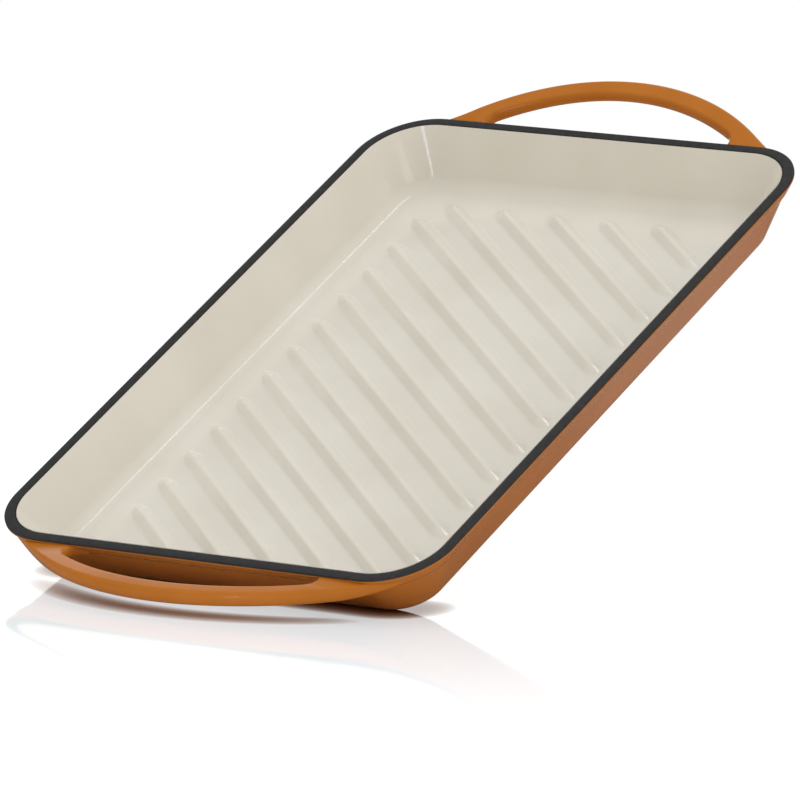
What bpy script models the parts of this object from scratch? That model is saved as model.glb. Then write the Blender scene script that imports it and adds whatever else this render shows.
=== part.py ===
"""Ribbed griddle plate: one iron casting with a loop handle at each end, and three coats of enamel on it.

Lengths are in metres. The base lies on z = 0, the long side runs along x, and x and y are 0 at the middle.
"""

import math
from collections import namedtuple

import bmesh
import bpy
from mathutils import Vector

# Rim, seen from above
RIM_LENGTH = 0.3262
RIM_WIDTH = 0.2200
RIM_CORNER_RADIUS = 0.0292
RIM_FACE_WIDTH = 0.0048
RIM_EDGE_RADIUS = 0.0003

# Outer wall, from the lip down to the base
BODY_HEIGHT = 0.0300
LIP_HEIGHT = 0.0054
LIP_DRAFT = 0.0028
LIP_UNDERCUT = 0.0022
WALL_DRAFT = 0.0140
BASE_EDGE_RADIUS = 0.0115
CORNER_SPREAD = 0.30

# Inside of the tray
FLOOR_THICKNESS = 0.0055
INNER_WALL_DRAFT = 0.0134
COVE_RADIUS = 0.0110

# Ribs, cast across the floor at an angle
RIB_ANGLE = math.radians(52.7)
RIB_PITCH = 0.0161
RIB_WIDTH = 0.0072
RIB_HEIGHT = 0.0030
RIB_CROWN_RADIUS = 0.0018
RIB_END_MARGIN = 0.0327
RIB_SIDE_MARGIN = 0.0356
SHORTEST_RIB = 0.0150

# Loop handles: the outer edge and the slot edge are arcs, and the bar rises away from the rim
HANDLE_REACH = 0.0324
HANDLE_ROOT_ANGLE = math.radians(34.6)
HANDLE_BAR_WIDTH = 0.0098
SLOT_SIDE_MARGIN = 0.0482
SLOT_END_RADIUS = 0.0058
SLOT_WALL_SETBACK = 0.0030
HANDLE_OUTER_THICKNESS = 0.0067
HANDLE_SLOT_THICKNESS = 0.0055
HANDLE_EDGE_RADIUS = 0.0026
EDGE_RADIUS_LIMIT = 0.45
HANDLE_LEVEL = 0.0006
HANDLE_RISE = 0.21
HANDLE_END_DROP = 0.0027
HANDLE_DROP_SPAN = 0.0800
LANDING_INSET = 0.0018
LANDING_DROP = 0.0014
LANDING_THICKNESS = 0.0045
SINKING_TURN = math.radians(25)
SINKING_DEPTH = 0.0030
ROOT_DEPTH = 0.0080

# Coats, and the clearance kept between one piece and the next
ENAMEL_THICKNESS = 0.0005
RIM_COAT_DEPTH = 0.0005
CLEARANCE = 0.0003

# How many flats stand for each curve: on the faces that show, and on those behind the enamel
Cuts = namedtuple("Cuts", "corner cove bar_edge rib_end crown")
SHOWN_STEPS = Cuts(corner=12, cove=6, bar_edge=3, rib_end=5, crown=3)
COVERED_STEPS = Cuts(corner=7, cove=4, bar_edge=2, rib_end=3, crown=1)
BAR_STEPS = 10
SLOT_END_STEPS = 5
SINKING_STEPS = 3
RIM_EDGE_STEPS = 3

SHARP_EDGE = math.radians(30)
OVERSHOOT = 0.0020

IRON_DEPTH = ENAMEL_THICKNESS + CLEARANCE
COAT_TOP = BODY_HEIGHT - RIM_COAT_DEPTH - CLEARANCE
COOKING_DEPTH = BODY_HEIGHT - FLOOR_THICKNESS
ABOVE_RIM = BODY_HEIGHT + OVERSHOOT
LANDING_TOP = BODY_HEIGHT - LANDING_DROP


def clear_scene():
    for item in list(bpy.data.objects):
        bpy.data.objects.remove(item, do_unlink=True)


def surface(name, colour, roughness, metallic=0.0):
    material = bpy.data.materials.new(name)
    material.use_nodes = True
    shader = material.node_tree.nodes["Principled BSDF"]
    shader.inputs["Base Color"].default_value = (*colour, 1.0)
    shader.inputs["Roughness"].default_value = roughness
    shader.inputs["Metallic"].default_value = metallic
    return material


def cast_iron():
    return surface("cast iron", (0.060, 0.058, 0.056), 0.65, metallic=0.9)


def caramel_enamel():
    return surface("caramel enamel", (0.48, 0.17, 0.04), 0.22)


def cream_enamel():
    return surface("cream enamel", (0.68, 0.62, 0.52), 0.25)


def matt_black_enamel():
    return surface("matt black enamel", (0.030, 0.031, 0.033), 0.55)


def loft(name, rings, closed=False):
    """A solid skinned with triangles over rings of equal count, its end rings joined up or each capped."""
    shape = bmesh.new()
    rows = [[shape.verts.new(point) for point in ring] for ring in rings]
    pairs = list(zip(rows, rows[1:]))
    if closed:
        pairs.append((rows[-1], rows[0]))
    for lower, upper in pairs:
        for here in range(len(lower)):
            ahead = (here + 1) % len(lower)
            shape.faces.new((lower[here], lower[ahead], upper[ahead]))
            shape.faces.new((lower[here], upper[ahead], upper[here]))
    if not closed:
        shape.faces.new(reversed(rows[0]))
        shape.faces.new(rows[-1])
    bmesh.ops.recalc_face_normals(shape, faces=shape.faces)
    mesh = bpy.data.meshes.new(name)
    shape.to_mesh(mesh)
    shape.free()
    solid = bpy.data.objects.new(name, mesh)
    bpy.context.scene.collection.objects.link(solid)
    return solid


def combine(solid, other, operation):
    """Boolean of two solids, kept in the first; the second is used up."""
    modifier = solid.modifiers.new(operation.title(), "BOOLEAN")
    modifier.operation = operation
    modifier.solver = "EXACT"
    modifier.object = other
    bpy.context.view_layer.objects.active = solid
    bpy.ops.object.modifier_apply(modifier=modifier.name)
    bpy.data.objects.remove(other, do_unlink=True)
    return solid


def finish(solid, name, material):
    solid.name = name
    solid.data.name = name
    solid.data.materials.clear()
    solid.data.materials.append(material)
    solid.data.shade_smooth()
    solid.data.set_sharp_from_angle(angle=SHARP_EDGE)
    return solid


def around(radius, angle):
    return Vector((radius * math.cos(angle), radius * math.sin(angle)))


def corner_centre_at(inset):
    """How far inside the rim's outline the corner arcs are struck where the wall has come in by inset."""
    return RIM_CORNER_RADIUS + CORNER_SPREAD * inset


def plate_ring(inset, corner_centre, height, steps):
    """A rounded rectangle inside the rim's outline, its arcs struck from corner_centre inside it."""
    reach_x = RIM_LENGTH / 2 - corner_centre
    reach_y = RIM_WIDTH / 2 - corner_centre
    points = []
    for quarter, (side_x, side_y) in enumerate(((1, 1), (-1, 1), (-1, -1), (1, -1))):
        for step in range(steps + 1):
            bend = around(corner_centre - inset, math.pi / 2 * (quarter + step / steps))
            points.append(Vector((side_x * reach_x + bend[0], side_y * reach_y + bend[1], height)))
    return points


def rounded_foot(foot, top, radius, steps):
    """Profile from the flat at foot's level round an arc and straight up to top: (inset, height) points."""
    slope = math.atan2(top[1] - foot[1], foot[0] - top[0])
    tangent = radius * math.tan(slope / 2)
    points = []
    for step in range(steps + 1):
        turn = slope * step / steps
        inset = foot[0] + tangent - radius * math.sin(turn)
        points.append((inset, foot[1] + radius - radius * math.cos(turn)))
    return points + [top]


def moved_inward(profile, depth):
    """The profile set back by depth along its normals. Before its first point lies a flat that faces down."""
    normals = [Vector((0, -1))]
    for start, end in zip(profile, profile[1:]):
        run = Vector(end) - Vector(start)
        normals.append(Vector((-run[1], run[0])).normalized())
    normals.append(normals[-1])
    moved = []
    for point, before, after in zip(profile, normals, normals[1:]):
        mitre = (before + after).normalized()
        moved.append(Vector(point) - mitre * depth / mitre.dot(after))
    return moved


def tray_form(name, profile, depth, top, steps):
    """The solid inside a wall profile set back by depth, its flat top at the given height."""
    rings = []
    for (inset, _), (moved_inset, height) in zip(profile, moved_inward(profile, depth)):
        rings.append((moved_inset, corner_centre_at(inset), height))
    kept = [ring for ring in rings if ring[2] < top]
    low = kept[-1]
    high = rings[len(kept)] if len(kept) < len(rings) else (low[0], low[1], top)
    share = (top - low[2]) / (high[2] - low[2])
    kept.append([start + share * (end - start) for start, end in zip(low, high)])
    return loft(name, [plate_ring(*ring, steps) for ring in kept])


def outer_profile(steps):
    undercut = (LIP_DRAFT + LIP_UNDERCUT, BODY_HEIGHT - LIP_HEIGHT - LIP_UNDERCUT)
    foot = (undercut[0] + WALL_DRAFT, 0.0)
    lip = [(LIP_DRAFT, BODY_HEIGHT - LIP_HEIGHT), (0.0, BODY_HEIGHT - RIM_COAT_DEPTH), (0.0, BODY_HEIGHT)]
    return rounded_foot(foot, undercut, BASE_EDGE_RADIUS, steps) + lip


def inner_profile(steps):
    foot = (RIM_FACE_WIDTH + INNER_WALL_DRAFT, FLOOR_THICKNESS)
    return rounded_foot(foot, (RIM_FACE_WIDTH, BODY_HEIGHT), COVE_RADIUS, steps)


def rib_lines():
    """Centrelines of the ribs: parallel, a pitch apart from the middle outwards, and ended by a rectangle."""
    along = around(1, RIB_ANGLE)
    across = Vector((-along[1], along[0]))
    field = (RIM_LENGTH / 2 - RIB_END_MARGIN, RIM_WIDTH / 2 - RIB_SIDE_MARGIN)
    furthest = math.ceil(math.hypot(*field) / RIB_PITCH)
    end_radius = RIB_WIDTH / 2
    lines = []
    for number in range(-furthest, furthest + 1):
        middle = across * RIB_PITCH * number
        low, high = -math.inf, math.inf
        for axis in (0, 1):
            meets = [(side * field[axis] - middle[axis]) / along[axis] for side in (-1, 1)]
            low = max(low, min(meets))
            high = min(high, max(meets))
        if high - low >= SHORTEST_RIB:
            lines.append((middle + along * (low + end_radius), middle + along * (high - end_radius)))
    return lines


def rib_form(start, end, depth, cuts):
    """A rib with sloping flanks that run into a round crown, and round ends, set back by depth."""
    crown_level = RIB_HEIGHT - RIB_CROWN_RADIUS
    foot_reach = math.hypot(RIB_WIDTH / 2, crown_level)
    leaves = math.acos(RIB_CROWN_RADIUS / foot_reach) - math.atan2(crown_level, RIB_WIDTH / 2)
    flank_slope = math.pi / 2 - leaves
    foot = RIB_WIDTH / 2 - depth * math.tan(flank_slope / 2)
    levels = [(foot, -depth - CLEARANCE), (foot, -depth)]
    for step in range(cuts.crown):
        turn = leaves + flank_slope * step / cuts.crown
        crown_point = around(RIB_CROWN_RADIUS - depth, turn)
        levels.append((crown_point[0], crown_level + crown_point[1]))
    run = end - start
    heading = math.atan2(run[1], run[0])
    rings = []
    for half_width, height in levels:
        ring = []
        for middle, turned in ((end, -math.pi / 2), (start, math.pi / 2)):
            for step in range(cuts.rib_end + 1):
                point = middle + around(half_width, heading + turned + math.pi * step / cuts.rib_end)
                ring.append(Vector((point[0], point[1], FLOOR_THICKNESS + height)))
        rings.append(ring)
    return loft("rib", rings)


def ribbed_cavity(name, depth, top, cuts):
    """The space inside the tray with the ribs taken out of it, its walls and ribs set back by depth."""
    cavity = tray_form(name, inner_profile(cuts.cove), -depth, top, cuts.corner)
    for start, end in rib_lines():
        combine(cavity, rib_form(start, end, depth, cuts), "DIFFERENCE")
    return cavity


def handle_stations(depth):
    """Stations from mid handle to one root, set back by depth: (slot edge, outer edge, share of the run-out).

    Each edge point is (reach past the rim's end, y). Both edges are arcs. The outer one goes on straight
    until it touches the lip's corner, then sinks into it, while the slot's end turns into the wall.
    """
    corner_centre = corner_centre_at(LANDING_INSET)
    corner = Vector((-corner_centre, RIM_WIDTH / 2 - corner_centre))
    corner_radius = corner_centre - LANDING_INSET
    heading = around(1, HANDLE_ROOT_ANGLE)
    straight_reach = corner.dot(heading) + corner_radius
    outer_radius = (straight_reach - HANDLE_REACH * heading[0]) / (1 - heading[0])
    outer_middle = Vector((HANDLE_REACH - outer_radius, 0))

    slot_reach = HANDLE_REACH - HANDLE_BAR_WIDTH
    slot_side = RIM_WIDTH / 2 - SLOT_SIDE_MARGIN
    end_middle = Vector((SLOT_END_RADIUS - SLOT_WALL_SETBACK, slot_side - SLOT_END_RADIUS))
    back = slot_reach - end_middle[0]
    slot_radius = (back ** 2 + end_middle[1] ** 2 - SLOT_END_RADIUS ** 2) / (2 * (back - SLOT_END_RADIUS))
    slot_middle = Vector((slot_reach - slot_radius, 0))
    slot_turn = math.atan2(end_middle[1], end_middle[0] - slot_middle[0])

    stations = []
    for step in range(BAR_STEPS + 1):
        share = step / BAR_STEPS
        slot_edge = slot_middle + around(slot_radius + depth, slot_turn * share)
        outer_edge = outer_middle + around(outer_radius - depth, HANDLE_ROOT_ANGLE * share)
        stations.append((slot_edge, outer_edge, 0.0))
    leaves = outer_edge
    lands = corner + around(corner_radius - depth, HANDLE_ROOT_ANGLE)
    for step in range(1, SLOT_END_STEPS + 1):
        share = step / SLOT_END_STEPS
        slot_edge = end_middle + around(SLOT_END_RADIUS + depth, slot_turn + (math.pi - slot_turn) * share)
        stations.append((slot_edge, leaves.lerp(lands, share), share))
    for step in range(1, SINKING_STEPS + 1):
        share = step / SINKING_STEPS
        sunk = corner_radius - depth - SINKING_DEPTH * share
        outer_edge = corner + around(sunk, HANDLE_ROOT_ANGLE + SINKING_TURN * share)
        stations.append((slot_edge - Vector((ROOT_DEPTH * share, 0)), outer_edge, 1.0))
    return stations


def handle_top(point):
    drop = HANDLE_END_DROP * (point[1] / HANDLE_DROP_SPAN) ** 2
    return BODY_HEIGHT + HANDLE_LEVEL + HANDLE_RISE * point[0] - drop


def bar_section(slot_edge, outer_edge, run_out, depth, steps):
    """The bar's rounded section at one station, set back by depth; it thins as its outer side runs out."""
    across = (outer_edge - slot_edge).normalized()
    outer_thickness = HANDLE_OUTER_THICKNESS + run_out * (LANDING_THICKNESS - HANDLE_OUTER_THICKNESS)
    section = []
    for quarter, (edge, inward, thickness, sinks, on_top) in enumerate((
        (slot_edge, across, HANDLE_SLOT_THICKNESS, 0.0, False),
        (outer_edge, -across, outer_thickness, run_out, False),
        (outer_edge, -across, outer_thickness, run_out, True),
        (slot_edge, across, HANDLE_SLOT_THICKNESS, 0.0, True),
    )):
        rounding = min(HANDLE_EDGE_RADIUS, thickness * EDGE_RADIUS_LIMIT)
        middle = edge + inward * (rounding - depth)
        top = handle_top(middle) + sinks * (LANDING_TOP - handle_top(middle))
        level = top - rounding if on_top else top - thickness + rounding
        for step in range(steps + 1):
            bend = around(rounding - depth, math.pi + math.pi / 2 * (quarter + step / steps))
            plan = middle + across * bend[0]
            section.append(Vector((plan[0], plan[1], level + bend[1])))
    return section


def handle_form(name, end, depth, steps):
    """A loop handle, set back by depth, at the plate's end named -1 or 1, its roots inside the body."""
    half = [bar_section(*station, depth, steps) for station in handle_stations(depth)]
    mirrored = [[point * Vector((1, -1, 1)) for point in section] for section in half[:0:-1]]
    rings = []
    for section in mirrored + half:
        rings.append([Vector((end * (RIM_LENGTH / 2 + point[0]), point[1], point[2])) for point in section])
    return loft(name, rings)


def casting_form(name, depth, top, cuts):
    """Outside of the casting, body and both handles, set back by depth."""
    form = tray_form(name, outer_profile(cuts.cove), depth, top, cuts.corner)
    for end in (-1, 1):
        combine(form, handle_form("handle", end, depth, cuts.bar_edge), "UNION")
    return form


def rim_space():
    """Room for the rim's coat: all above the other coats that lies inside the rim and a clearance past it."""
    top = handle_top((0, 0)) + OVERSHOOT
    rings = []
    for height in (COAT_TOP, top):
        rings.append(plate_ring(-CLEARANCE, RIM_CORNER_RADIUS, height, SHOWN_STEPS.corner))
    return loft("rim space", rings)


def make_iron_casting():
    iron = casting_form("iron", IRON_DEPTH, COAT_TOP, COVERED_STEPS)
    combine(iron, rim_space(), "DIFFERENCE")
    combine(iron, ribbed_cavity("cavity", IRON_DEPTH, ABOVE_RIM, COVERED_STEPS), "DIFFERENCE")
    return finish(iron, "iron_casting", cast_iron())


def make_outer_enamel():
    coat = casting_form("coat", 0.0, BODY_HEIGHT, SHOWN_STEPS)
    combine(coat, casting_form("covered", ENAMEL_THICKNESS, ABOVE_RIM, COVERED_STEPS), "DIFFERENCE")
    combine(coat, rim_space(), "DIFFERENCE")
    return finish(coat, "outer_enamel", caramel_enamel())


def make_inner_enamel():
    coat = ribbed_cavity("coat", ENAMEL_THICKNESS, COAT_TOP, COVERED_STEPS)
    combine(coat, ribbed_cavity("tray space", 0.0, ABOVE_RIM, SHOWN_STEPS), "DIFFERENCE")
    return finish(coat, "inner_enamel", cream_enamel())


def make_rim_enamel():
    """A coat over the top of the wall, flush with the wall's two sides, with both of its edges eased."""
    inner_slope = INNER_WALL_DRAFT / COOKING_DEPTH
    eased = min(RIM_EDGE_RADIUS, RIM_COAT_DEPTH / 2)
    bends = [around(eased, math.pi / 2 * step / RIM_EDGE_STEPS) for step in range(RIM_EDGE_STEPS + 1)]
    section = [(0.0, RIM_COAT_DEPTH)]
    section += [(eased - bend[0], eased - bend[1]) for bend in bends]
    for bend in reversed(bends):
        down = eased - bend[1]
        section.append((RIM_FACE_WIDTH - eased + bend[0] + inner_slope * down, down))
    section.append((RIM_FACE_WIDTH + inner_slope * RIM_COAT_DEPTH, RIM_COAT_DEPTH))
    rings = []
    for inset, down in section:
        rings.append(plate_ring(inset, corner_centre_at(inset), BODY_HEIGHT - down, SHOWN_STEPS.corner))
    return finish(loft("coat", rings, closed=True), "rim_enamel", matt_black_enamel())


clear_scene()
make_iron_casting()
make_outer_enamel()
make_inner_enamel()
make_rim_enamel()
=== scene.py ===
"""Looks of a ribbed griddle plate: the iron casting and its three enamels, on a pale floor in studio light.

Lengths are in metres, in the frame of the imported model: the base on z = 0, the long side along x.
"""

import math

import bmesh
import bpy
from mathutils import Euler, Matrix, Vector


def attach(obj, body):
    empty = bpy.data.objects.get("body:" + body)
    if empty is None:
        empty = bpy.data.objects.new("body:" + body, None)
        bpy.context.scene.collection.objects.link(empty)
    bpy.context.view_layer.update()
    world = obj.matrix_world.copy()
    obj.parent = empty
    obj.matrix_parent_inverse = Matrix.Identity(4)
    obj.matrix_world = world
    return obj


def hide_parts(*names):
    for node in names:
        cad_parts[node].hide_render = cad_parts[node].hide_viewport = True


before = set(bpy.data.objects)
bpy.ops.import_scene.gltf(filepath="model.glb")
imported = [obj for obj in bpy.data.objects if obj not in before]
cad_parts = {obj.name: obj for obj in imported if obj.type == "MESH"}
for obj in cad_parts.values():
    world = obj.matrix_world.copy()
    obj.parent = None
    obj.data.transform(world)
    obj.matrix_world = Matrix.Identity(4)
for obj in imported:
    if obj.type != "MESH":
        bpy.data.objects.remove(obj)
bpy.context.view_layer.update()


# The iron casting: tray, ribs and both loop handles, poured in sand as one piece of grey iron.
# It is blasted clean and then coated on every side, so that only its shape shows through the enamel.

IRON_DARK = (0.040, 0.039, 0.038)
IRON_LIGHT = (0.085, 0.082, 0.079)
IRON_METALLIC = 0.85
DRIFT_LOW = 0.3
DRIFT_HIGH = 0.7


def shader_of(material):
    return material.node_tree.nodes["Principled BSDF"]


def added(tree, kind, inputs, **settings):
    """A new node of that kind, with its settings; each input is a value or the output that feeds it."""
    node = tree.nodes.new(kind)
    for name, setting in settings.items():
        setattr(node, name, setting)
    for socket, value in inputs.items():
        if isinstance(value, bpy.types.NodeSocket):
            tree.links.new(value, node.inputs[socket])
        else:
            node.inputs[socket].default_value = value
    return node


def grained(name, dark, light, grain_size, sheen, relief_size, relief_depth):
    """A surface whose colour and gloss drift between two values each, over a low relief."""
    material = bpy.data.materials.new(name)
    material.use_nodes = True
    tree = material.node_tree
    shader = shader_of(material)
    place = tree.nodes.new("ShaderNodeTexCoord").outputs["Object"]

    def drift(size, detail):
        inputs = {"Vector": place, "Scale": 1 / size, "Detail": detail}
        return added(tree, "ShaderNodeTexNoise", inputs).outputs["Fac"]

    colour = added(tree, "ShaderNodeValToRGB", {"Fac": drift(grain_size, detail=3)})
    colour.color_ramp.elements[0].position = DRIFT_LOW
    colour.color_ramp.elements[0].color = (*dark, 1)
    colour.color_ramp.elements[1].position = DRIFT_HIGH
    colour.color_ramp.elements[1].color = (*light, 1)
    tree.links.new(colour.outputs["Color"], shader.inputs["Base Color"])

    gloss = added(tree, "ShaderNodeMapRange", {
        "Value": drift(grain_size * 2, detail=2), "From Min": DRIFT_LOW, "From Max": DRIFT_HIGH,
        "To Min": sheen[0], "To Max": sheen[1],
    })
    tree.links.new(gloss.outputs["Result"], shader.inputs["Roughness"])

    relief = added(tree, "ShaderNodeBump", {
        "Height": drift(relief_size, detail=2), "Distance": relief_depth,
    })
    tree.links.new(relief.outputs["Normal"], shader.inputs["Normal"])
    return material


cast_iron = grained(
    "cast iron", IRON_DARK, IRON_LIGHT,
    grain_size=0.0012, sheen=(0.50, 0.70), relief_size=0.0009, relief_depth=0.00010,
)
shader_of(cast_iron).inputs["Metallic"].default_value = IRON_METALLIC
iron_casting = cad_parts["iron_casting"]
iron_casting.data.materials.clear()
iron_casting.data.materials.append(cast_iron)


# The outer enamel: glossy caramel-orange glass on the walls' outside, the underside and both handles.
# It is sprayed on and fuses to the iron, so it rounds off the lip's edges and fills the handles' roots.

RIM_LENGTH = 0.3262
RIM_WIDTH = 0.2200
RIM_CORNER_RADIUS = 0.0292
CORNER_SPREAD = 0.30
BODY_HEIGHT = 0.0300

LIP_HEIGHT = 0.0054
LIP_DRAFT = 0.0028
LIP_UNDERCUT = 0.0022
WALL_DRAFT = 0.0140
BASE_EDGE_RADIUS = 0.0115
UNDERCUT_FILLET = 0.0040
LIP_FOOT_ROUNDING = 0.0020
LIP_TOP_ROUNDING = 0.0004
LIP_TOP_BAND = 0.0008
OUTER_TOP = BODY_HEIGHT - 0.0006

HANDLE_REACH = 0.0324
HANDLE_ROOT_ANGLE = math.radians(34.6)
HANDLE_BAR_WIDTH = 0.0098
SLOT_SIDE_MARGIN = 0.0482
SLOT_END_RADIUS = 0.0058
SLOT_WALL_SETBACK = 0.0030
HANDLE_OUTER_THICKNESS = 0.0067
HANDLE_SLOT_THICKNESS = 0.0055
HANDLE_EDGE_RADIUS = 0.0030
EDGE_RADIUS_LIMIT = 0.45
HANDLE_LEVEL = 0.0006
HANDLE_RISE = 0.21
HANDLE_END_DROP = 0.0027
HANDLE_DROP_SPAN = 0.0800
LANDING_INSET = 0.0018
LANDING_DROP = 0.0014
LANDING_THICKNESS = 0.0045
SINKING_TURN = math.radians(25)
SINKING_DEPTH = 0.0030
ROOT_DEPTH = 0.0080

CORNER_STEPS = 28
ARC_STEPS = 18
FEWEST_ARC_STEPS = 2
BAR_STEPS = 36
SLOT_END_STEPS = 14
SINKING_STEPS = 8
BAR_EDGE_STEPS = 7
ENAMEL_THICKNESS = 0.0005
SHARP_EDGE = math.radians(35)
TOUCHING = 1e-6

CARAMEL_DARK = (0.400, 0.126, 0.013)
CARAMEL_LIGHT = (0.440, 0.142, 0.017)
CARAMEL_SPECULAR = 0.28


def around(radius, angle):
    return Vector((radius * math.cos(angle), radius * math.sin(angle)))


def eased(corners, radii, steps):
    """A profile of straight runs with its inner corners rounded, in so many steps to a right angle."""
    corners = [Vector(corner) for corner in corners]
    points = [corners[0]]
    for before, corner, after, radius in zip(corners, corners[1:], corners[2:], radii):
        arriving = (corner - before).normalized()
        leaving = (after - corner).normalized()
        turn = arriving.angle_signed(leaving)
        reach = radius * math.tan(abs(turn) / 2)
        normal = Vector((leaving[1], -leaving[0])) * math.copysign(1, turn)
        middle = corner + leaving * reach + normal * radius
        spoke = corner - arriving * reach - middle
        count = max(FEWEST_ARC_STEPS, round(steps * abs(turn) / (math.pi / 2)))
        for step in range(count + 1):
            share = turn * step / count
            turned = Vector((
                spoke[0] * math.cos(share) + spoke[1] * math.sin(share),
                spoke[1] * math.cos(share) - spoke[0] * math.sin(share),
            ))
            points.append(middle + turned)
    return points + [corners[-1]]


def corner_centre_at(inset):
    return max(RIM_CORNER_RADIUS + CORNER_SPREAD * inset, inset)


def plate_ring(inset, height, tightening=0.0):
    """A rounded rectangle inside the rim's outline by the inset, its corners tighter by the tightening."""
    centre = corner_centre_at(inset) - tightening
    reach_x = RIM_LENGTH / 2 - centre
    reach_y = RIM_WIDTH / 2 - centre
    points = []
    for quarter, (side_x, side_y) in enumerate(((1, 1), (-1, 1), (-1, -1), (1, -1))):
        for step in range(CORNER_STEPS + 1):
            bend = around(centre - inset, math.pi / 2 * (quarter + step / CORNER_STEPS))
            points.append(Vector((side_x * reach_x + bend[0], side_y * reach_y + bend[1], height)))
    return points


def skinned(shape, rings):
    """Quads over rings of equal count, added to the shape; returns the first and last row of points."""
    rows = [[shape.verts.new(point) for point in ring] for ring in rings]
    for lower, upper in zip(rows, rows[1:]):
        for here in range(len(lower)):
            ahead = (here + 1) % len(lower)
            shape.faces.new((lower[here], lower[ahead], upper[ahead], upper[here]))
    return rows[0], rows[-1]


def as_piece(shape, name):
    bmesh.ops.recalc_face_normals(shape, faces=shape.faces)
    mesh = bpy.data.meshes.new(name)
    shape.to_mesh(mesh)
    shape.free()
    piece = bpy.data.objects.new(name, mesh)
    bpy.context.scene.collection.objects.link(piece)
    return piece


def solid_of(rings, name):
    shape = bmesh.new()
    bottom, top = skinned(shape, rings)
    shape.faces.new(reversed(bottom))
    shape.faces.new(top)
    return as_piece(shape, name)


def handle_stations():
    """Stations from mid handle to one root: (slot edge, outer edge, share of the run-out) on the plan."""
    corner_centre = corner_centre_at(LANDING_INSET)
    corner = Vector((-corner_centre, RIM_WIDTH / 2 - corner_centre))
    corner_radius = corner_centre - LANDING_INSET
    heading = around(1, HANDLE_ROOT_ANGLE)
    outer_radius = (corner.dot(heading) + corner_radius - HANDLE_REACH * heading[0]) / (1 - heading[0])
    outer_middle = Vector((HANDLE_REACH - outer_radius, 0))

    slot_reach = HANDLE_REACH - HANDLE_BAR_WIDTH
    slot_side = RIM_WIDTH / 2 - SLOT_SIDE_MARGIN
    end_middle = Vector((SLOT_END_RADIUS - SLOT_WALL_SETBACK, slot_side - SLOT_END_RADIUS))
    back = slot_reach - end_middle[0]
    slot_radius = (back ** 2 + end_middle[1] ** 2 - SLOT_END_RADIUS ** 2) / (2 * (back - SLOT_END_RADIUS))
    slot_middle = Vector((slot_reach - slot_radius, 0))
    slot_turn = math.atan2(end_middle[1], end_middle[0] - slot_middle[0])

    stations = []
    for step in range(BAR_STEPS + 1):
        share = step / BAR_STEPS
        slot_edge = slot_middle + around(slot_radius, slot_turn * share)
        outer_edge = outer_middle + around(outer_radius, HANDLE_ROOT_ANGLE * share)
        stations.append((slot_edge, outer_edge, 0.0))
    leaves = outer_edge
    lands = corner + around(corner_radius, HANDLE_ROOT_ANGLE)
    for step in range(1, SLOT_END_STEPS + 1):
        share = step / SLOT_END_STEPS
        slot_edge = end_middle + around(SLOT_END_RADIUS, slot_turn + (math.pi - slot_turn) * share)
        stations.append((slot_edge, leaves.lerp(lands, share), share))
    for step in range(1, SINKING_STEPS + 1):
        share = step / SINKING_STEPS
        turned = HANDLE_ROOT_ANGLE + SINKING_TURN * share
        outer_edge = corner + around(corner_radius - SINKING_DEPTH * share, turned)
        stations.append((slot_edge - Vector((ROOT_DEPTH * share, 0)), outer_edge, 1.0))
    return stations


def handle_top(point):
    drop = HANDLE_END_DROP * (point[1] / HANDLE_DROP_SPAN) ** 2
    return BODY_HEIGHT + HANDLE_LEVEL + HANDLE_RISE * point[0] - drop


def bar_section(slot_edge, outer_edge, run_out):
    """The bar's rounded section at one station; it thins as its outer side runs out."""
    across = (outer_edge - slot_edge).normalized()
    outer_thickness = HANDLE_OUTER_THICKNESS + run_out * (LANDING_THICKNESS - HANDLE_OUTER_THICKNESS)
    landing_top = BODY_HEIGHT - LANDING_DROP
    section = []
    for quarter, (edge, inward, thickness, sinks, on_top) in enumerate((
        (slot_edge, across, HANDLE_SLOT_THICKNESS, 0.0, False),
        (outer_edge, -across, outer_thickness, run_out, False),
        (outer_edge, -across, outer_thickness, run_out, True),
        (slot_edge, across, HANDLE_SLOT_THICKNESS, 0.0, True),
    )):
        rounding = min(HANDLE_EDGE_RADIUS, thickness * EDGE_RADIUS_LIMIT)
        middle = edge + inward * rounding
        top = handle_top(middle) + sinks * (landing_top - handle_top(middle))
        level = top - rounding if on_top else top - thickness + rounding
        for step in range(BAR_EDGE_STEPS + 1):
            bend = around(rounding, math.pi + math.pi / 2 * (quarter + step / BAR_EDGE_STEPS))
            plan = middle + across * bend[0]
            section.append(Vector((plan[0], plan[1], level + bend[1])))
    return section


def loop_handle(end):
    """A loop handle at the plate's end named -1 or 1, its roots inside the body."""
    half = [bar_section(*station) for station in handle_stations()]
    mirrored = [[point * Vector((1, -1, 1)) for point in section] for section in half[:0:-1]]
    rings = []
    for section in mirrored + half:
        rings.append([Vector((end * (RIM_LENGTH / 2 + point[0]), point[1], point[2])) for point in section])
    return solid_of(rings, "handle")


def outer_body():
    """The outside of the tray as a solid, from the flat base to the rounded top of the lip."""
    lip_foot = BODY_HEIGHT - LIP_HEIGHT
    undercut = (LIP_DRAFT + LIP_UNDERCUT, lip_foot - LIP_UNDERCUT)
    foot = undercut[0] + WALL_DRAFT
    corners = [(foot + 2 * BASE_EDGE_RADIUS, 0.0), (foot, 0.0), undercut, (LIP_DRAFT, lip_foot)]
    corners += [(0.0, OUTER_TOP - LIP_TOP_BAND), (0.0, OUTER_TOP), (2 * LIP_TOP_ROUNDING, OUTER_TOP)]
    radii = [BASE_EDGE_RADIUS, UNDERCUT_FILLET, LIP_FOOT_ROUNDING, LIP_TOP_ROUNDING, LIP_TOP_ROUNDING]
    profile = eased(corners, radii, ARC_STEPS)
    return solid_of([plate_ring(inset, height) for inset, height in profile], "outer_coat")


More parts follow.
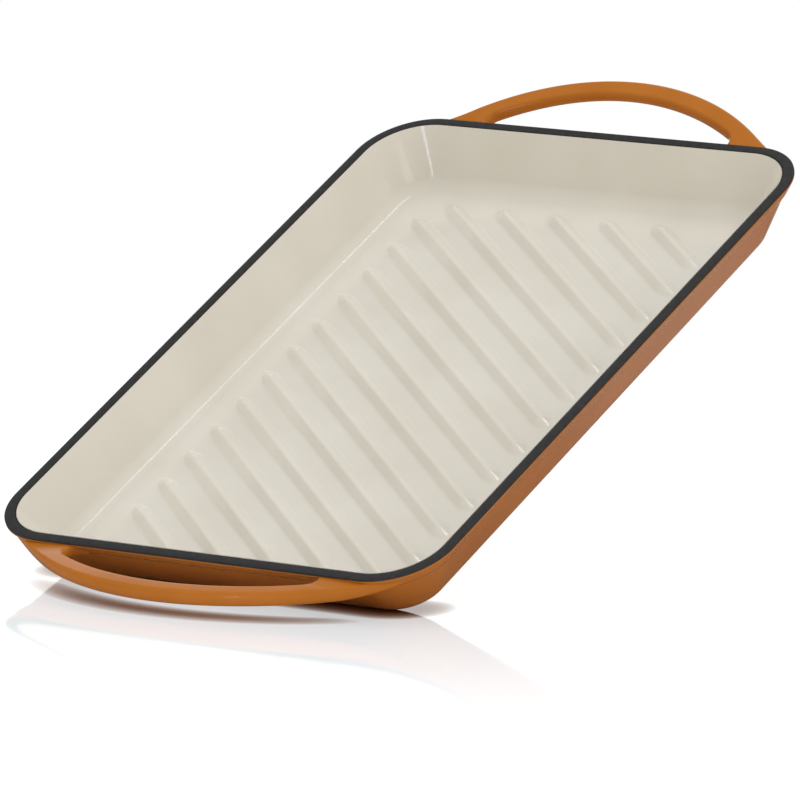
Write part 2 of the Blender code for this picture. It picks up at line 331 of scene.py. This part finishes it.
def joined(solid, other):
    modifier = solid.modifiers.new("join", "BOOLEAN")
    modifier.operation = "UNION"
    modifier.solver = "EXACT"
    modifier.object = other
    bpy.context.view_layer.objects.active = solid
    bpy.ops.object.modifier_apply(modifier=modifier.name)
    bpy.data.objects.remove(other, do_unlink=True)


def without_lid(piece, level):
    """Takes off the flat faces at that level, so that the tray's outside is left as an open skin."""
    shape = bmesh.new()
    shape.from_mesh(piece.data)
    lid = [face for face in shape.faces if all(abs(v.co[2] - level) < TOUCHING for v in face.verts)]
    bmesh.ops.delete(shape, geom=lid, context="FACES")
    shape.to_mesh(piece.data)
    shape.free()


def fired_on(piece, material):
    """Gives a skin the enamel's thickness behind its face, smooth shading and its material."""
    piece.data.materials.clear()
    piece.data.materials.append(material)
    piece.data.shade_smooth()
    piece.data.set_sharp_from_angle(angle=SHARP_EDGE)
    coat = piece.modifiers.new("coat", "SOLIDIFY")
    coat.thickness = ENAMEL_THICKNESS
    coat.offset = -1
    shading = piece.modifiers.new("shading", "WEIGHTED_NORMAL")
    shading.keep_sharp = True


outer_coat = outer_body()
for end in (-1, 1):
    joined(outer_coat, loop_handle(end))
without_lid(outer_coat, OUTER_TOP)
caramel_enamel = grained(
    "caramel enamel", CARAMEL_DARK, CARAMEL_LIGHT,
    grain_size=0.0300, sheen=(0.14, 0.20), relief_size=0.0090, relief_depth=0.00010,
)
shader_of(caramel_enamel).inputs["Specular IOR Level"].default_value = CARAMEL_SPECULAR
fired_on(outer_coat, caramel_enamel)
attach(outer_coat, "root")
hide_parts("outer_enamel")


# The inner enamel: glossy cream glass on the inner walls, the floor and the ribs, fired on like the other.
# The ribs are cast with the floor, and the enamel softens their feet, crests and tapered ends.

RIM_FACE_WIDTH = 0.0045
FLOOR_THICKNESS = 0.0055
INNER_WALL_DRAFT = 0.0137
INNER_CORNER_TIGHTENING = 0.0007
COVE_RADIUS = 0.0110
COVE_STEPS = 36
INNER_TOP = BODY_HEIGHT - 0.0003

RIB_ANGLE = math.radians(52.7)
RIB_PITCH = 0.0161
RIB_WIDTH = 0.0084
RIB_FLANK_SLOPE = math.radians(36.5)
RIB_CROWN_RADIUS = 0.0013
RIB_FOOT_FILLET = 0.0030
RIB_APRON = 0.0013
RIB_END_MARGIN = 0.0327
RIB_SIDE_MARGIN = 0.0356
RIB_END_STRETCH = 2.4
RIB_END_TAPER = 1.4
RIB_END_SETBACK = 0.0057
SHORTEST_RIB = 0.0150
RIB_END_STEPS = 20

CREAM_DARK = (0.640, 0.594, 0.502)
CREAM_LIGHT = (0.678, 0.634, 0.546)


def rib_lines():
    """The middles of the two ends of each rib: the ribs lie a pitch apart and are ended by a rectangle."""
    along = around(1, RIB_ANGLE)
    across = Vector((-along[1], along[0]))
    field = (RIM_LENGTH / 2 - RIB_END_MARGIN, RIM_WIDTH / 2 - RIB_SIDE_MARGIN)
    furthest = math.ceil(math.hypot(*field) / RIB_PITCH)
    lines = []
    for number in range(-furthest, furthest + 1):
        middle = across * RIB_PITCH * number
        meets = []
        for axis in (0, 1):
            meets.append(sorted((side * field[axis] - middle[axis]) / along[axis] for side in (-1, 1)))
        low = max(meets[0][0], meets[1][0])
        high = min(meets[0][1], meets[1][1])
        if high - low >= SHORTEST_RIB:
            start = middle + along * (low + RIB_END_SETBACK)
            end = middle + along * (high - RIB_END_SETBACK)
            lines.append((start, end))
    return lines


def rib_rings(start, end, floor):
    """Rings over one rib, from its foot's edge up to its crest; both its ends run down to a blunt point."""
    foot = RIB_WIDTH / 2
    apex = foot * math.tan(RIB_FLANK_SLOPE)
    corners = [(foot + RIB_APRON, 0.0), (foot, 0.0), (0.0, apex), (-foot, 0.0)]
    profile = eased(corners, [RIB_FOOT_FILLET, RIB_CROWN_RADIUS], ARC_STEPS)[:-1]
    half = [point for point in profile if point[0] > TOUCHING]
    along = around(1, RIB_ANGLE)
    across = Vector((-along[1], along[0]))
    rings = []
    for half_width, height in half:
        ring = []
        for middle, side in ((end, 1), (start, -1)):
            for step in range(RIB_END_STEPS + 1):
                share = math.sin(math.pi * (step / RIB_END_STEPS - 0.5))
                reach = RIB_END_STRETCH * math.sqrt(1 - abs(share) ** RIB_END_TAPER)
                plan = middle + side * half_width * (along * reach + across * share)
                ring.append(Vector((plan[0], plan[1], floor + height)))
        rings.append(ring)
    return rings


def loop_edges(row):
    edges = []
    for here, vert in enumerate(row):
        following = row[(here + 1) % len(row)]
        edges.append(next(edge for edge in vert.link_edges if following in edge.verts))
    return edges


def tray_inside():
    """Walls and cove as rings, each rib as its own mound, and the flat floor filled in between them."""
    floor = FLOOR_THICKNESS
    foot = RIM_FACE_WIDTH + INNER_WALL_DRAFT
    top = (RIM_FACE_WIDTH + INNER_WALL_DRAFT * (BODY_HEIGHT - INNER_TOP) / (BODY_HEIGHT - floor), INNER_TOP)
    profile = eased([top, (foot, floor), (foot + COVE_RADIUS, floor)], [COVE_RADIUS], COVE_STEPS)[:-1]
    shape = bmesh.new()
    rings = [plate_ring(inset, height, INNER_CORNER_TIGHTENING) for inset, height in profile]
    _, flat = skinned(shape, rings)
    edges = loop_edges(flat)
    for start, end in rib_lines():
        foot_row, crest = skinned(shape, rib_rings(start, end, floor))
        shape.faces.new(crest)
        edges += loop_edges(foot_row)
    bmesh.ops.triangle_fill(shape, edges=edges, use_beauty=True, normal=(0, 0, 1))
    return as_piece(shape, "inner_coat")


inner_coat = tray_inside()
cream_enamel = grained(
    "cream enamel", CREAM_DARK, CREAM_LIGHT,
    grain_size=0.0400, sheen=(0.09, 0.13), relief_size=0.0100, relief_depth=0.00005,
)
fired_on(inner_coat, cream_enamel)
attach(inner_coat, "root")
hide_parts("inner_enamel")


# The rim enamel: a thin matt black coat on the flat top of the wall, where lids and spatulas rub.
# It is fired over the ends of the other two coats and stops at both edges of the top face.

RIM_COAT_DEPTH = 0.0008
RIM_EDGE_ROUNDING = 0.00035
RIM_EDGE_STEPS = 5
BLACK_DARK = (0.020, 0.020, 0.020)
BLACK_LIGHT = (0.033, 0.032, 0.031)
BLACK_SPECULAR = 0.45

bottom = BODY_HEIGHT - RIM_COAT_DEPTH
section = eased(
    [(0.0, bottom), (0.0, BODY_HEIGHT), (RIM_FACE_WIDTH, BODY_HEIGHT), (RIM_FACE_WIDTH, bottom)],
    [RIM_EDGE_ROUNDING, RIM_EDGE_ROUNDING], RIM_EDGE_STEPS,
)
shape = bmesh.new()
rings = []
for inset, height in section:
    rings.append(plate_ring(inset, height, INNER_CORNER_TIGHTENING * inset / RIM_FACE_WIDTH))
outer_row, inner_row = skinned(shape, rings)
for here in range(len(outer_row)):
    ahead = (here + 1) % len(outer_row)
    shape.faces.new((outer_row[here], outer_row[ahead], inner_row[ahead], inner_row[here]))
rim_coat = as_piece(shape, "rim_coat")
black_enamel = grained(
    "matt black enamel", BLACK_DARK, BLACK_LIGHT,
    grain_size=0.0025, sheen=(0.42, 0.56), relief_size=0.0007, relief_depth=0.00006,
)
shader_of(black_enamel).inputs["Specular IOR Level"].default_value = BLACK_SPECULAR
rim_coat.data.materials.append(black_enamel)
rim_coat.data.shade_smooth()
rim_coat.data.set_sharp_from_angle(angle=SHARP_EDGE)
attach(rim_coat, "root")
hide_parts("rim_enamel")


# The floor: a pale glazed table top. The plate leans towards the camera on it, on the near edge of its
# base and on the near handle, so in the plate's frame the floor is the plane that touches those two.
# The glaze mirrors the plate near by and dulls further out; painted shade darkens and warms it at the
# contact.

LEAN = math.radians(25.8)
FLOOR_REACH = 0.70
FLOOR_FADE_FROM = 0.36
FLOOR_FADE_TO = 0.62
FLOOR_SIDES = 96
FLOOR_SHADE = 0.96
FLOOR_SHADE_MIRRORED = 0.26
FLOOR_SHADE_SEEN = 0.24
FLOOR_GLOW_SEEN = 0.92
FLOOR_GLAZE_INDEX = 1.12
FLOOR_MIRROR_ROUGHNESS = 0.05
FLOOR_MIRROR_GAIN = (2.25, 2.07, 2.00)
FLOOR_MIRROR_FADE_FROM = 0.17
FLOOR_MIRROR_FADE_TO = 0.52
CONTACT_REACH = 0.010
CONTACT_DEPTHS = (2.50, 3.00, 3.30)

floor_up = Vector((math.sin(LEAN), 0, math.cos(LEAN)))
floor_level = min(vertex.co.dot(floor_up) for vertex in outer_coat.data.vertices)
bpy.ops.mesh.primitive_circle_add(
    vertices=FLOOR_SIDES, radius=FLOOR_REACH, fill_type="NGON",
    location=floor_up * floor_level, rotation=(0, LEAN, 0),
)
table_top = bpy.context.object
table_top.name = "table_top"

pale = bpy.data.materials.new("pale table top")
pale.use_nodes = True
tree = pale.node_tree
tree.nodes.remove(shader_of(pale))
ray = tree.nodes.new("ShaderNodeLightPath").outputs

# Painted contact shade: occlusion near the plate, raised to a power per channel, darkens the floor's colour
# and warms it like orange bounce light.
contact = added(tree, "ShaderNodeAmbientOcclusion", {"Distance": CONTACT_REACH}).outputs["AO"]
channels = {}
for channel, depth in enumerate(CONTACT_DEPTHS):
    deepened = added(tree, "ShaderNodeMath", {0: contact, 1: depth}, operation="POWER")
    channels[channel] = deepened.outputs["Value"]
painted_contact_shade = added(tree, "ShaderNodeCombineColor", channels).outputs["Color"]

spot = tree.nodes.new("ShaderNodeTexCoord").outputs["Object"]
distance = added(tree, "ShaderNodeVectorMath", {0: spot}, operation="LENGTH").outputs["Value"]
polish = added(tree, "ShaderNodeMapRange", {
    "Value": distance, "From Min": FLOOR_MIRROR_FADE_FROM, "From Max": FLOOR_MIRROR_FADE_TO,
    "To Min": 1, "To Max": 0,
}).outputs["Result"]
glaze = added(tree, "ShaderNodeFresnel", {"IOR": FLOOR_GLAZE_INDEX}).outputs["Fac"]
polished = added(tree, "ShaderNodeMath", {0: glaze, 1: polish}, operation="MULTIPLY").outputs["Value"]
seen_mirror = added(tree, "ShaderNodeMath", {0: polished, 1: ray["Is Camera Ray"]}, operation="MULTIPLY")
mirrored_share = added(tree, "ShaderNodeVectorMath", {
    0: FLOOR_MIRROR_GAIN, "Scale": seen_mirror.outputs["Value"],
}, operation="SCALE").outputs["Vector"]
mirror = added(tree, "ShaderNodeBsdfGlossy", {"Color": mirrored_share, "Roughness": FLOOR_MIRROR_ROUGHNESS})
left_over = added(tree, "ShaderNodeVectorMath", {0: (1, 1, 1), 1: mirrored_share}, operation="SUBTRACT")
under_mirror = added(tree, "ShaderNodeVectorMath", {
    0: painted_contact_shade, 1: left_over.outputs["Vector"],
}, operation="MULTIPLY").outputs["Vector"]


def seen_colour(brightness):
    """What the glaze leaves of the floor's colour, painted contact shade included, at that brightness."""
    inputs = {0: under_mirror, "Scale": brightness}
    return added(tree, "ShaderNodeVectorMath", inputs, operation="SCALE").outputs["Vector"]


unseen_shade = added(tree, "ShaderNodeMapRange", {
    "Value": ray["Is Glossy Ray"], "To Min": FLOOR_SHADE, "To Max": FLOOR_SHADE_MIRRORED,
}).outputs["Result"]
shade = added(tree, "ShaderNodeMix", {
    "Factor": ray["Is Camera Ray"], 4: unseen_shade, 5: seen_colour(FLOOR_SHADE_SEEN),
}, data_type="VECTOR").outputs[1]
matt = added(tree, "ShaderNodeBsdfDiffuse", {"Color": shade}).outputs["BSDF"]
# For the camera the floor glows evenly white, and this glow carries the painted contact shade.
glow = added(tree, "ShaderNodeEmission", {
    "Color": seen_colour(FLOOR_GLOW_SEEN), "Strength": ray["Is Camera Ray"],
}).outputs["Emission"]
paint = added(tree, "ShaderNodeAddShader", {0: matt, 1: glow}).outputs["Shader"]
surface = added(tree, "ShaderNodeAddShader", {0: paint, 1: mirror.outputs["BSDF"]}).outputs["Shader"]

fade = added(tree, "ShaderNodeMapRange", {
    "Value": distance, "From Min": FLOOR_FADE_FROM, "From Max": FLOOR_FADE_TO,
}, interpolation_type="SMOOTHSTEP").outputs["Result"]
underneath = tree.nodes.new("ShaderNodeNewGeometry").outputs["Backfacing"]
unseen_side = added(tree, "ShaderNodeMath", {0: fade, 1: underneath}, operation="MAXIMUM").outputs["Value"]
clear = tree.nodes.new("ShaderNodeBsdfTransparent").outputs["BSDF"]
one_sided = added(tree, "ShaderNodeMixShader", {"Fac": unseen_side, 1: surface, 2: clear})
tree.links.new(one_sided.outputs["Shader"], tree.nodes["Material Output"].inputs["Surface"])
table_top.data.materials.append(pale)


# The light: a pale studio, warmer near the table and cooler overhead, with a white backdrop that the
# plate's gloss mirrors. Two soft boxes, a tube and a strip stand round the table for the highlights.

HORIZON_LIGHT = (0.77, 0.735, 0.645)
ZENITH_LIGHT = (1.20, 1.24, 1.32)
WARM_WHITE = (1.0, 0.955, 0.86)
PLAIN_WHITE = (1.0, 1.0, 1.0)
COOL_WHITE = (0.86, 0.95, 1.15)
BACKDROP_MIRRORED = 1.0
STUDIO_MIRRORED = 0.12
BACKDROP_TURN = math.radians(35)
BACKDROP_RISE = math.radians(9)
BACKDROP_EDGE = math.radians(12)
STUDIO_EDGE = math.radians(34)

world = bpy.data.worlds.new("studio")
bpy.context.scene.world = world
world.use_nodes = True
tree = world.node_tree
ray = tree.nodes.new("ShaderNodeLightPath").outputs
place = tree.nodes.new("ShaderNodeTexCoord").outputs["Generated"]
floor_ahead = Vector((math.cos(LEAN), 0, -math.sin(LEAN)))
floor_left = Vector((0, 1, 0))


def towards(turn, rise):
    """The direction with this turn round the table and this rise over it."""
    level = around(math.cos(rise), turn)
    return floor_ahead * level[0] + floor_left * level[1] + floor_up * math.sin(rise)


def leaning_to(direction):
    """How far a ray of light leans to that direction, as the cosine of the angle between them."""
    inputs = {0: place, 1: direction}
    return added(tree, "ShaderNodeVectorMath", inputs, operation="DOT_PRODUCT").outputs["Value"]


def chosen(factor, usual, other):
    """A mix of two colours, each a value or another node's output."""
    inputs = {"Factor": factor, 6: usual, 7: other}
    return added(tree, "ShaderNodeMix", inputs, data_type="RGBA").outputs[2]


mirrored = added(tree, "ShaderNodeMapRange", {
    "Value": leaning_to(towards(BACKDROP_TURN, BACKDROP_RISE)),
    "From Min": math.cos(STUDIO_EDGE), "From Max": math.cos(BACKDROP_EDGE),
    "To Min": STUDIO_MIRRORED, "To Max": BACKDROP_MIRRORED,
}, interpolation_type="SMOOTHSTEP").outputs["Result"]
glossy_or_glass = added(tree, "ShaderNodeMath", {
    0: ray["Is Glossy Ray"], 1: ray["Is Transmission Ray"],
}, operation="MAXIMUM").outputs["Value"]
studio = chosen(leaning_to(floor_up), (*HORIZON_LIGHT, 1), (*ZENITH_LIGHT, 1))
unseen = chosen(glossy_or_glass, studio, mirrored)
white_behind = chosen(ray["Is Camera Ray"], unseen, (*PLAIN_WHITE, 1))
tree.links.new(white_behind, tree.nodes["Background"].inputs["Color"])


def soft_box(name, turn, rise, distance, width, height, radiance, colour):
    """A lamp that faces the plate, placed by its turn round the table and its rise over it, in degrees."""
    place = towards(math.radians(turn), math.radians(rise)) * distance
    lamp_data = bpy.data.lights.new(name, "AREA")
    lamp_data.shape = "RECTANGLE"
    lamp_data.size = width
    lamp_data.size_y = height
    lamp_data.energy = radiance * math.pi * width * height
    lamp_data.color = colour
    lamp = bpy.data.objects.new(name, lamp_data)
    back = place.normalized()
    across = floor_up.cross(back).normalized()
    up = back.cross(across)
    lamp.matrix_world = Matrix((
        (across[0], up[0], back[0], place[0]), (across[1], up[1], back[1], place[1]),
        (across[2], up[2], back[2], place[2]), (0, 0, 0, 1),
    ))
    lamp.visible_camera = False
    bpy.context.scene.collection.objects.link(lamp)
    return lamp


soft_box(
    "box by the camera", turn=-104, rise=22, distance=2.0,
    width=1.95, height=0.50, radiance=1.6, colour=WARM_WHITE,
)
overhead = soft_box(
    "box overhead", turn=20, rise=74, distance=1.2,
    width=0.60, height=0.60, radiance=1.2, colour=COOL_WHITE,
)
overhead.visible_glossy = False
soft_box(
    "tube overhead", turn=-2, rise=74, distance=1.2,
    width=0.04, height=0.60, radiance=7.0, colour=PLAIN_WHITE,
)
soft_box(
    "strip low on the left", turn=180, rise=7, distance=2.0,
    width=0.12, height=0.70, radiance=6.0, colour=COOL_WHITE,
)


# The camera: a long lens, far off and a little above the table, turned so that the rim
# and both handles stand in the picture at the angle of the photograph.

CAMERA_PLACE = (-2.4273, -2.1028, 1.8248)
CAMERA_TURN = (59.3427, 14.5965, -57.4417)  # degrees
CAMERA_LENS = 398.87
SENSOR_WIDTH = 36
CLIP_END = 100

camera_data = bpy.data.cameras.new("camera")
camera_data.lens = CAMERA_LENS
camera_data.sensor_width = SENSOR_WIDTH
camera_data.clip_end = CLIP_END
camera = bpy.data.objects.new("camera", camera_data)
camera.location = CAMERA_PLACE
camera.rotation_euler = Euler([math.radians(angle) for angle in CAMERA_TURN])
bpy.context.scene.collection.objects.link(camera)
bpy.context.scene.camera = camera
bpy.context.scene.view_settings.view_transform = "Standard"
